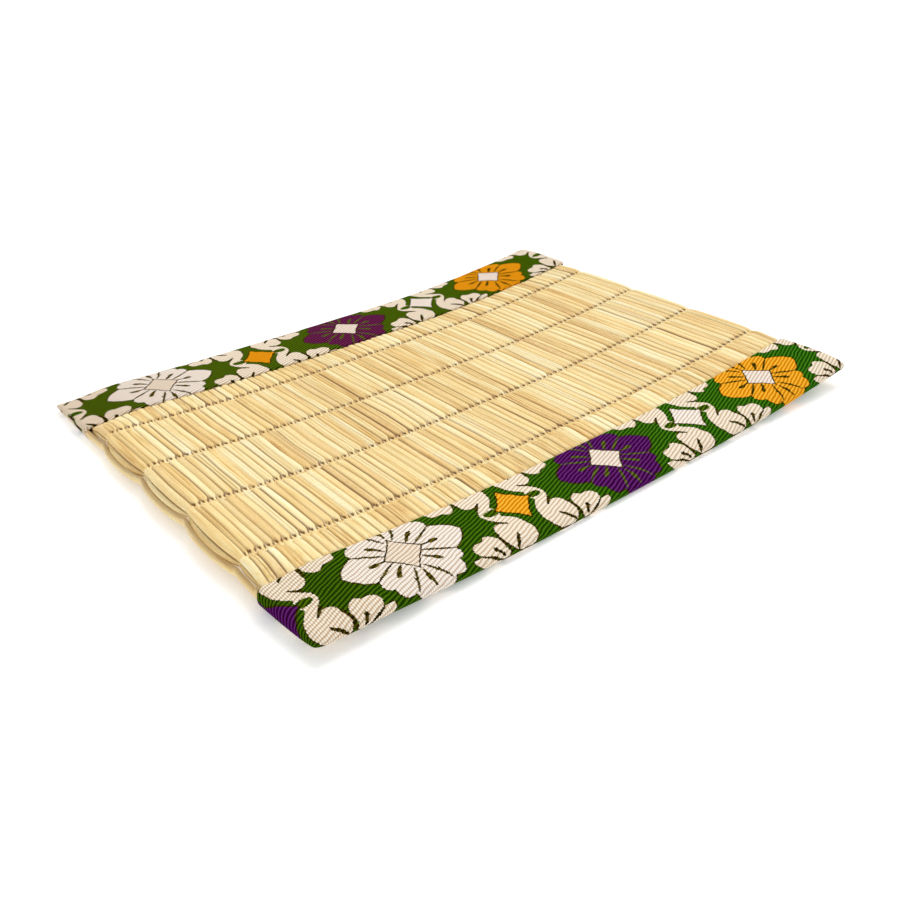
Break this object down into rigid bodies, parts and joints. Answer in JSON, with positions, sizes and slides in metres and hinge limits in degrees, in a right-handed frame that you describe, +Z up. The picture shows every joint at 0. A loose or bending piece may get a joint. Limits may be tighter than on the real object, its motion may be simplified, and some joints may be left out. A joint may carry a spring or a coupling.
{
  "type": "small tatami mat",
  "caption": "Small rectangular mat of woven rush with a flower brocade binding folded over each long edge; its middle lies flat and its ends lift slightly.",
  "frame": {"origin": "centre of the mat's footprint, on the surface it rests on", "axes": "+X along the bindings and the warps, +Y along the rushes from the front binding to the back binding, +Z up"},
  "size_m": [0.131, 0.1, 0.0064],
  "materials": {
    "rush": "dried rush stalks woven on thin warps, straw yellow with a soft waxy sheen",
    "brocade": "ribbed green brocade tape with woven white, purple and orange flowers and pale leaves"
  },
  "bodies": {
    "root": {"rush_sheet": "rush", "binding_front": "brocade", "binding_back": "brocade"}
  },
  "joints": []
}
